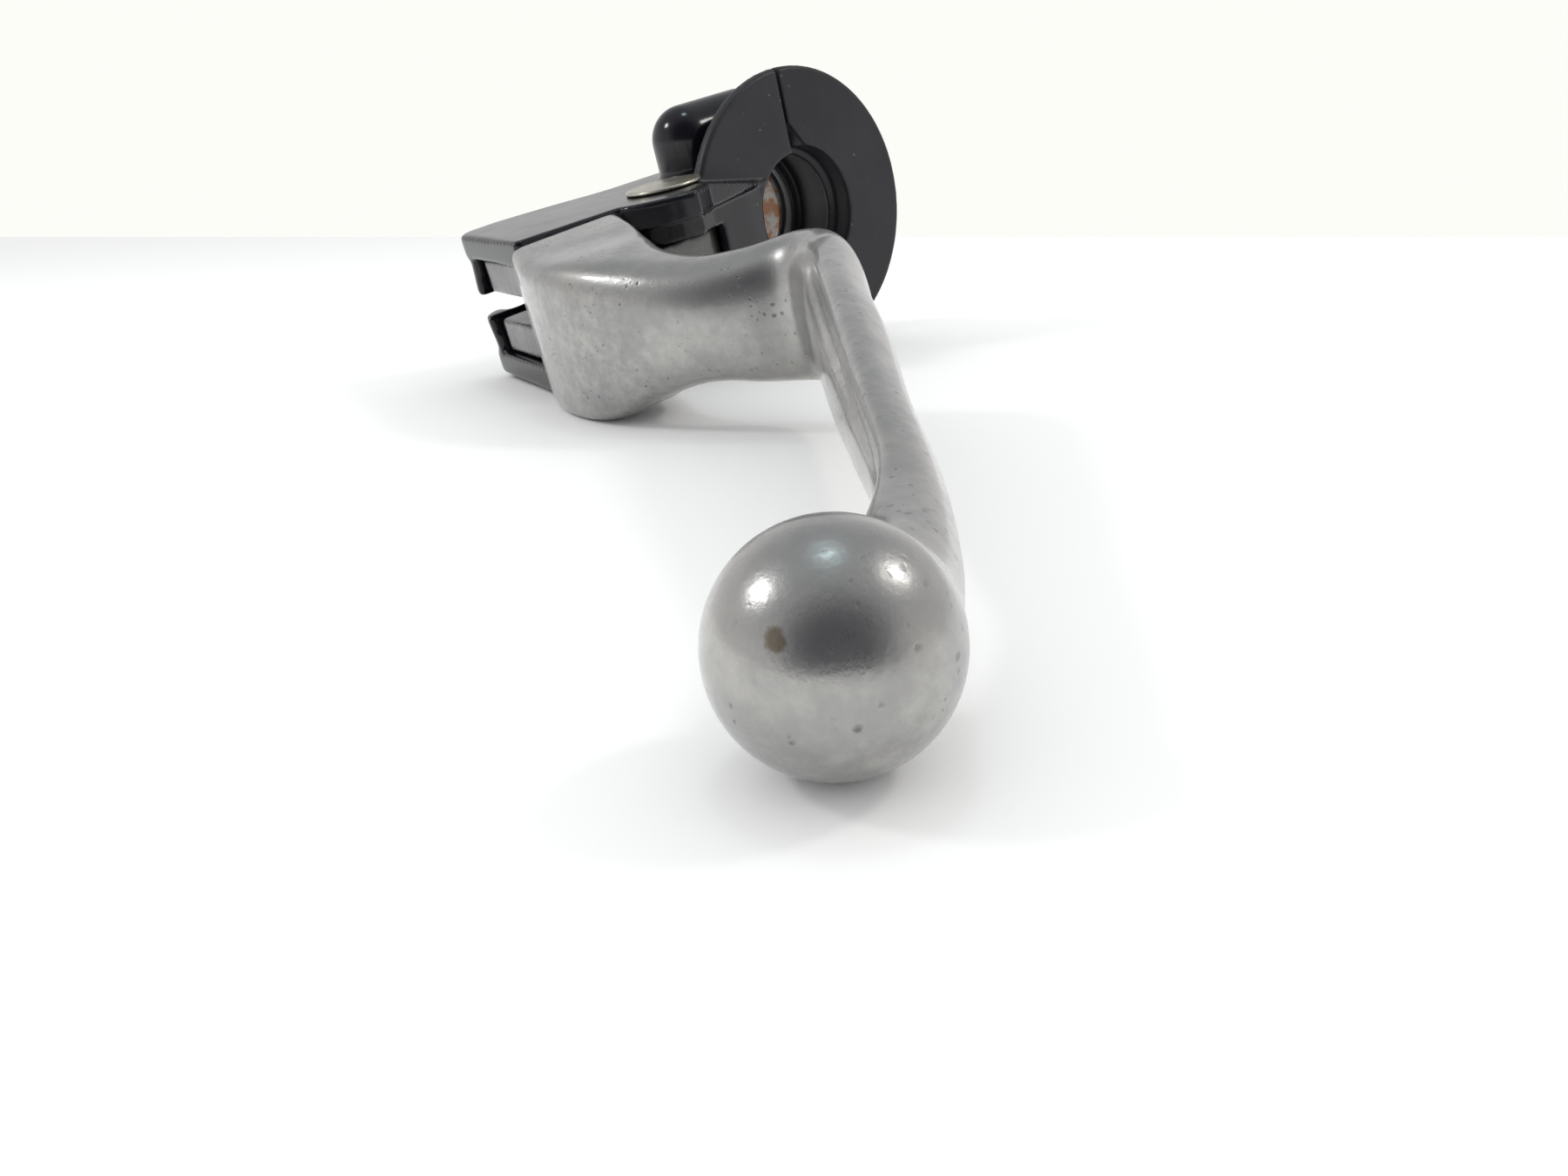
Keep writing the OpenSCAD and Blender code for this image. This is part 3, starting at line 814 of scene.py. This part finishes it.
    def ears_shell(self) -> Shell:
        """The ears that carry the cable's barrel, as one slab before its slot is cut."""
        root = self.block_x + 3
        outline = [[root, self.block_front + 1.0], [root, -50], [-21, -44], [-27.4, -47.6], [-29, -51]]
        corners = np.concatenate([outline, arc((-26.4, -64.2), 2.6, 180, 258, 5)])
        return prism(corners, self.mid_z - self.ear_half, self.mid_z + self.ear_half)

    def tongue_shell(self) -> Shell:
        """The thinner web from the hub to the ears and the block."""
        outline = [[-19, -52], [self.block_x + 4, -54], [self.block_x + 3.4, -49.6]]
        corners = np.concatenate([arc(self.pivot, self.hub_r, 20, 200, 24), outline])
        return prism(corners, self.mid_z - self.hub_half, self.mid_z + self.hub_half)

    def post(self, centre: Sequence[float], radius: float, half: float) -> Shell:
        """An upright round post about a centre, reaching the same height both ways from the mid-plane."""
        return prism(arc(centre, radius, 0, 357, 119), self.mid_z - half, self.mid_z + half)

    def slab(self, low: Sequence[float], high: Sequence[float], half: float) -> Shell:
        """An upright block between two corners, reaching the same height both ways from the mid-plane."""
        corners = np.array([low, [high[0], low[1]], high, [low[0], high[1]]], float)
        return prism(corners, self.mid_z - half, self.mid_z + half)

    def combine(self, piece: Object, operation: str, shell: Shell) -> None:
        """Joins a shell to a piece, or takes it out, or keeps what they share."""
        tool = mesh_object("tool", *shell)
        step = piece.modifiers.new("step", "BOOLEAN")
        step.operation, step.solver, step.object = operation, "MANIFOLD", tool
        baked(piece)
        bpy.data.objects.remove(tool)

    def knuckle_zone(self, places: np.ndarray) -> np.ndarray:
        """Where the casting is rounder: 1 just before the bend, falling like a bell over 11 mm."""
        away = (places[:, :2] - self.knuckle + (1, 5)) / 11
        return np.exp(-(away**2).sum(1))

    def dress(self, piece: Object) -> None:
        """Stores each place's coarseness, and its way along and around the path for the polishing streaks.

        The coarseness follows the station number. It is less on top, grows on the ball's underside, and is
        past 1 on the walls between the plates and behind the block, which the finish darkens as painted
        shade.
        """
        mesh = piece.data
        points, normals = vertex_array(mesh) / MM, vertex_array(mesh, "normal")
        at = np.linspace(0, len(self.stations) - 1, 240)
        centres = self.station(at)
        path = centres[:, :2]
        apart = ((points[:, None, :2] - path[None]) ** 2).sum(-1)
        nearest = apart.argmin(1)
        along = np.concatenate([[0], np.hypot(*np.diff(path, axis=0).T).cumsum()])[nearest]
        rise = points[:, 2] - self.mid_z - centres[nearest, 2]
        around = 8 * np.arctan2(rise, np.sqrt(apart.min(1)) + 0.01)
        sweep = np.column_stack([along, around, np.zeros_like(along)]) * MM
        layer = mesh.attributes.new("sweep", "FLOAT_VECTOR", "POINT")
        layer.data.foreach_set("vector", sweep.astype(np.float32).ravel())
        coarse_by_station = [(3.4, 1.0), (5.0, 0.12), (7.0, 0.3), (9.0, 0.35), (14.0, 0.2)]
        coarse = np.interp(at[nearest], *np.transpose(coarse_by_station))
        coarse = coarse * (1 - 0.5 * np.clip(normals[:, 2], 0, 1))
        near_ball = np.linalg.norm(points - self.ball, axis=1) < self.ball_r + 0.4
        under = np.clip(0.3 - 1.1 * normals[:, 2], 0, 1)
        # the walls behind the block and the hub and tongue between the plates get 1.6, which the finish
        # darkens as painted shade
        shaded_recess = (points[:, 0] < self.block_x - 0.2) & (points[:, 1] > self.block_front + 3)
        off_pivot = np.linalg.norm(points[:, :2] - self.pivot, axis=1)
        thin = np.abs(points[:, 2] - self.mid_z) < self.hub_half + 0.9
        shaded_recess |= thin & (off_pivot < self.relief_r + 0.4)
        paint_attribute(mesh, "coarse", np.where(near_ball, under, np.where(shaded_recess, 1.6, coarse)))

    def build(self) -> None:
        """Casts the lever, bores it and dresses it."""
        tall = 60.0
        piece = mesh_object("lever_casting", *closed_tube(self.arm_rings()))
        steps = (
            ("INTERSECT", self.slab([self.block_x, -300], [400, 100], tall)),
            ("UNION", self.ears_shell()),
            ("DIFFERENCE", self.post(self.pivot, self.relief_r, tall)),
            ("DIFFERENCE", self.slab([-90, -200], [-1, self.slot_end], self.slot_half)),
            ("UNION", self.tongue_shell()),
            ("UNION", self.post(self.pivot, self.hub_r, self.hub_half)),
            ("UNION", self.ball_shell()),
        )
        for operation, shell in steps:
            self.combine(piece, operation, shell)
        cast(piece, self.voxel, self.rounding, 180000, self.knuckle_zone, self.bend_rounding)
        for centre, radius in ((self.pivot, self.bush_r), (self.anchor, self.anchor_r)):
            self.combine(piece, "DIFFERENCE", self.post(centre, radius, tall))
        self.dress(piece)
        on_ball = self.ball + self.ball_r * np.array([0.347, -0.761, 0.549])
        on_block = np.array([21.5, -85.2, 4.0])
        stains = [(tuple(on_ball * MM), 0.001), (tuple(on_block * MM), 0.0009)]
        material = AlloyFinish().build(self.effects, stains)
        settle(piece, Body.LEVER, material, "hand_lever")


# ---- the bracket ----


@dataclass
class BracketCastings:
    """The two painted clamp halves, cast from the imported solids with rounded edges."""

    effects: Effects
    nodes: dict
    voxel: float = 0.42
    rounding: int = 4
    land_r: float = 0.01315

    @staticmethod
    def front(places: np.ndarray) -> np.ndarray:
        """Where the plates are rounder: 1 on their inboard nose, falling to 0 over 10 mm."""
        return np.clip((-places[:, 1] - 52) / 10, 0, 1) * np.clip((-places[:, 0] - 6) / 10, 0, 1)

    def casting(self, node: str, name: str, finish: PaintFinish) -> None:
        """Casts one half from a CAD node, under its own name and with its paint."""
        piece = merged_copy(self.nodes[node], name)
        cast(piece, self.voxel, self.rounding, 190000, self.front)
        settle(piece, Body.BRACKET, finish.build(self.effects, self.land_r), node)

    def build(self) -> None:
        """Casts both halves."""
        black, dark = rgb(0.003, 0.003, 0.005), rgb(0.006, 0.006, 0.009)
        gloss = PaintFinish(Slot.BLACK_PAINT, black, dark, 0.12, 0.3, 0.42)
        satin = PaintFinish(Slot.FLANGE_PAINT, gloss.disc_film, gloss.disc_faded, 0.38, 0.22, 0.36)
        self.casting("lever_bracket", "bracket_casting", gloss)
        self.casting("rear_clamp_half", "rear_clamp_casting", satin)


# ---- fasteners ----


@dataclass
class PivotPin:
    """The headed pin that the lever turns on, in millimetres."""

    effects: Effects
    pivot: np.ndarray
    top: float
    radius: float = 3.95
    head_r: float = 8.0
    head_t: float = 0.9
    foot: float = -18.6
    groove: tuple = (-17.6, -16.8)
    groove_depth: float = 0.7

    def build(self, material: Material) -> None:
        """Turns the pin, with a rolled rim and a faint crown on its head."""
        low, high = self.groove
        inner = self.radius - self.groove_depth
        stem = [(0.4, self.foot), (self.radius - 0.5, self.foot), (self.radius - 0.06, self.foot + 0.45)]
        stem += [(self.radius, low - 0.02), (inner, low), (inner, high), (self.radius, high + 0.02)]
        lift = 0.06
        rim_r = self.head_t / 2 - lift
        middle = self.top + lift + rim_r
        rim = arc((self.head_r - rim_r, middle), rim_r, -90, 90, 12)
        share = np.linspace(0.94, 0.02, 24)
        crown = np.column_stack([self.head_r * share, middle + rim_r + lift * (1 - share**2)])
        crown[-4:, 1] -= (0.03, 0.08, 0.1, 0.1)
        neck = [(self.radius, self.top), (self.radius + 0.3, self.top + lift)]
        points, faces = turned(np.concatenate([stem, neck, rim, crown]), 144)
        points[:, :2] += self.pivot
        piece = mesh_object("pivot_pin_turned", points, faces)
        settle(piece, Body.BRACKET, material, "pivot_pin")


@dataclass
class CapScrew:
    """A socket cap screw along Y: rolled thread, knurled head, six-sided socket. Millimetres."""

    name: str
    node: str
    axis: tuple
    tip: float = -12.0
    seat: float = 13.8
    radius: float = 3.12
    pitch: float = 1.27
    head_r: float = 4.76
    head_h: float = 6.35
    rim: tuple = ((0, 0.7), (0.25, 0.2), (0.7, 0))
    socket_r: float = 2.92
    knurls: int = 40

    def build(self, material: Material) -> None:
        """Turns the screw.

        The thread takes a ridge off the radius, the sine of height over pitch minus the angle. The head's
        side is a fine sine of the angle, and the socket's rings follow a hexagon's radius, cos 30 over
        the cosine of the angle from its nearest flat.
        """
        plain, thread, knurl, socket = range(4)
        neck, under, top = self.seat - 2.2, self.head_r - 0.1, self.seat + self.head_h
        rows = [(0.3, self.tip, plain), (self.radius - 0.6, self.tip, plain)]
        rows += [(self.radius, z, thread) for z in np.arange(self.tip + 0.5, self.seat - 2.5, 0.16)]
        rows += [(self.radius, neck, plain), (self.radius, self.seat, plain)]
        rows += [(under, self.seat, plain), (self.head_r, self.seat + 0.15, plain)]
        rows += [(self.head_r, self.seat + 0.5, knurl), (self.head_r, top - 1.0, knurl)]
        rows += [(self.head_r - inset, top - drop, plain) for inset, drop in self.rim]
        rows += [(self.socket_r + 0.3, top, plain)]
        rows += [(self.socket_r, top - depth, socket) for depth in (0.25, 3.1)]
        rows += [(self.socket_r * 0.8, top - 3.3, plain), (0.2, top - 3.7, plain)]
        table = np.array(rows)
        kind = table[:, 2:3]

        def shape(radius: np.ndarray, angle: np.ndarray) -> np.ndarray:
            """Adds thread, knurl and socket to the rings they belong to."""
            turn = TURN * table[:, 1:2] / self.pitch - angle
            ridges = -0.2 * (1 + np.sin(turn)) * (kind == thread)
            grooves = -0.09 * (1 + np.sin(self.knurls * angle)) * (kind == knurl)
            flat = np.mod(angle, TURN / 6) - TURN / 12
            hexagon = np.where(kind == socket, math.cos(TURN / 12) / np.cos(flat) * 1.1, 1.0)
            return (radius + ridges + grooves) * hexagon

        points, faces = turned(table[:, :2], 240, shape)
        points = np.column_stack([points[:, 0] + self.axis[0], points[:, 2], self.axis[1] - points[:, 1]])
        piece = mesh_object(self.name, points, faces)
        settle(piece, Body.BRACKET, material, self.node)


@dataclass
class SmallParts:
    """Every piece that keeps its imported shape; the last of the words found in its name sets its finish."""

    effects: Effects
    nodes: dict
    finishes: tuple = (
        PlainMetal(Slot.ZINC_PLATE, rgb(0.66, 0.63, 0.52), rgb(0.5, 0.48, 0.4), 0.26, 0.12, 0.5),
        PlainMetal(Slot.BARE_STEEL, rgb(0.5, 0.5, 0.49), rgb(0.34, 0.33, 0.32), 0.34, 0.15, 0.6),
        PlainMetal(Slot.BRONZE, rgb(0.5, 0.31, 0.12), rgb(0.36, 0.22, 0.09), 0.4, 0.1, 0.6),
        PlainMetal(Slot.NYLON, rgb(0.62, 0.58, 0.47), rgb(0.5, 0.46, 0.36), 0.5, 0.06, 0.2, 0.0),
    )
    words: tuple = (
        (Slot.ZINC_PLATE, ("washer",)),
        (Slot.BARE_STEEL, ("snap", "hub", "insert", "cable_anchor")),
        (Slot.BRONZE, ("pivot_bush",)),
        (Slot.NYLON, ("anchor_bush",)),
    )

    def build(self) -> Material:
        """Gives the small pieces their finishes.

        Returns:
            The zinc plating, which the pin and the screws share.
        """
        made = {finish.slot: finish.build(self.effects) for finish in self.finishes}
        for name, node in self.nodes.items():
            for slot, words in self.words:
                if any(word in name for word in words):
                    for place in node.material_slots:
                        place.material = made[slot]
        return made[Slot.ZINC_PLATE]


# ---- the studio ----


@dataclass
class Studio:
    """White floor, light surroundings, three disc lamps and the camera, in millimetres."""

    eye: tuple = (210.573, -191.054, 44.108)
    forward: tuple = (-0.72024, 0.5464, -0.42743)
    right: tuple = (0.66801, 0.71245, -0.21489)
    up: tuple = (-0.1871, 0.4403, 0.87814)
    lens: float = 28.0
    floor_normal: tuple = (0.0309, 0.1945, 0.9804)
    floor_offset: float = -30.74
    edge_point: tuple = (-311.8, 263.2, -73.7)
    edge_line: tuple = (0.9895, 0.1325, -0.0575)
    floor_size: float = 3000.0
    aim: tuple = (90.0, -85.0, 0.0)
    lamp_reach: float = 0.8
    lamp_size: float = 0.13
    surround: float = 0.98
    shade: tuple = (0.73, -0.52, 0.35)

    def camera(self) -> None:
        """Places the camera: its axes are the columns of its turn."""
        data = bpy.data.cameras.new("camera")
        data.lens, data.sensor_width = self.lens, 36.0
        data.clip_start, data.clip_end = 0.01, 20.0
        camera = linked("camera", data)
        back = -Vector(self.forward)
        turn = Matrix((self.right, self.up, back)).transposed().to_4x4()
        camera.matrix_world = Matrix.Translation(Vector(self.eye) * MM) @ turn
        bpy.context.scene.camera = camera

    def floor(self) -> None:
        """Lays the floor: a square that ends at the table's far edge and reaches back under the camera."""
        normal, line = np.array(self.floor_normal), np.array(self.edge_line)
        normal /= np.linalg.norm(normal)
        line -= normal * (line @ normal)
        line /= np.linalg.norm(line)
        near = np.cross(normal, line)
        near *= -np.sign(near @ (np.array(self.edge_point) - np.array(self.eye)))
        edge = np.array(self.edge_point)
        edge += normal * (self.floor_offset - edge @ normal)
        corners = [edge - line * self.floor_size, edge + line * self.floor_size]
        corners += [c + near * self.floor_size for c in corners[::-1]]
        if np.cross(corners[1] - corners[0], corners[2] - corners[1]) @ normal < 0:
            corners.reverse()
        floor = mesh_object("floor", np.array(corners), [[0, 1, 2, 3]])
        material, s, shader = new_material("table_top")
        tone = s.noise(s.place(), 6.0, 2.0)
        white = s.blend(tone, rgb(0.93, 0.935, 0.935), rgb(0.95, 0.95, 0.95))
        s.fill(shader, {"Base Color": white, "Roughness": 0.65})
        floor.data.materials.append(material)

    def lamps(self) -> None:
        """Hangs the three disc lamps, each turned to the part."""
        rows = (
            ("left", (-0.51, -0.423, 0.749), 1.1, (1, 1, 1)),
            ("overhead", (-0.10, 0.28, 0.955), 0.35, (0.75, 0.97, 1.0)),
            ("right", (0.416, 0.71, 0.568), 1.0, (1.0, 0.97, 0.92)),
        )
        for name, way, power, colour in rows:
            data = bpy.data.lights.new(f"{name}_lamp", "AREA")
            data.shape, data.size = "DISK", self.lamp_size
            data.energy, data.color = power, colour
            lamp = linked(data.name, data)
            toward = Vector(way).normalized()
            lamp.location = Vector(self.aim) * MM + toward * self.lamp_reach
            lamp.rotation_euler = toward.to_track_quat("Z", "Y").to_euler()

    def surroundings(self) -> None:
        """Sets the surrounding light.

        The part is lit evenly and the camera sees off-white. Reflections see grey walls, lighter towards
        the floor, with a soft dark area behind the camera.
        """
        world = bpy.data.worlds.new("surroundings")
        bpy.context.scene.world = world
        world.use_nodes = True
        s = Sketch(world.node_tree)
        way = s.node("TexCoord").outputs["Generated"]

        def toward(direction: Sequence[float]) -> NodeSocket:
            """Cosine of the angle between the way looked and a direction."""
            values = {0: way, 1: Vector(direction).normalized()}
            return s.node("VectorMath", values, operation="DOT_PRODUCT").outputs["Value"]

        height = s.remap(toward(self.floor_normal), 0.0, 0.75)
        walls = s.blend(height, rgb(0.8, 0.79, 0.79), rgb(0.47, 0.48, 0.5))
        mirrored = s.blend(s.remap(toward(self.shade), 0.42, 0.92), walls, rgb(0.045, 0.045, 0.065))
        rays = s.node("LightPath").outputs
        light = s.node("Background", {"Color": rgb(1.0, 1.0, 1.0), "Strength": self.surround}).outputs[0]
        shine = s.node("Background", {"Color": mirrored}).outputs[0]
        plain = s.node("Background", {"Color": rgb(0.98, 0.98, 0.94)}).outputs[0]
        for ray, seen in (("Is Glossy Ray", shine), ("Is Camera Ray", plain)):
            light = s.node("MixShader", {0: rays[ray], 1: light, 2: seen}).outputs[0]
        s.node("OutputWorld", {"Surface": light})

    def build(self) -> None:
        """Sets up everything around the part."""
        bpy.context.scene.view_settings.view_transform = "Standard"
        self.camera()
        self.floor()
        self.lamps()
        self.surroundings()


def main() -> None:
    logging.basicConfig(level=logging.INFO, format="%(name)s: %(message)s", stream=sys.stdout)
    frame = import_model()
    nodes = frame["nodes"]
    pull = next(joint for joint in frame["joints"] if joint["name"] == "lever_pull")
    pivot = np.array(pull["pos_m"]) / MM
    low, high = (np.array(corner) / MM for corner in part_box("hand_lever"))
    plate_top = np.array(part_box("pivot_pin")[1])[2] / MM
    effects = Effects()
    zinc = SmallParts(effects, nodes).build()
    ball_r, ball_rise = LeverCasting.ball_r, 3.0
    ball = np.array([high[0] - ball_r, low[1] + ball_r, pivot[2] + ball_rise])
    LeverCasting(effects, pivot[:2], ball, pivot[2]).build()
    BracketCastings(effects, nodes).build()
    PivotPin(effects, pivot[:2], plate_top - PivotPin.head_t).build(zinc)
    for name, height in (("upper", 20.8), ("lower", -20.4)):
        CapScrew(f"{name}_cap_screw", f"{name}_clamp_screw", (-14.0, height)).build(zinc)
    Studio().build()


if __name__ == "__main__":
    main()
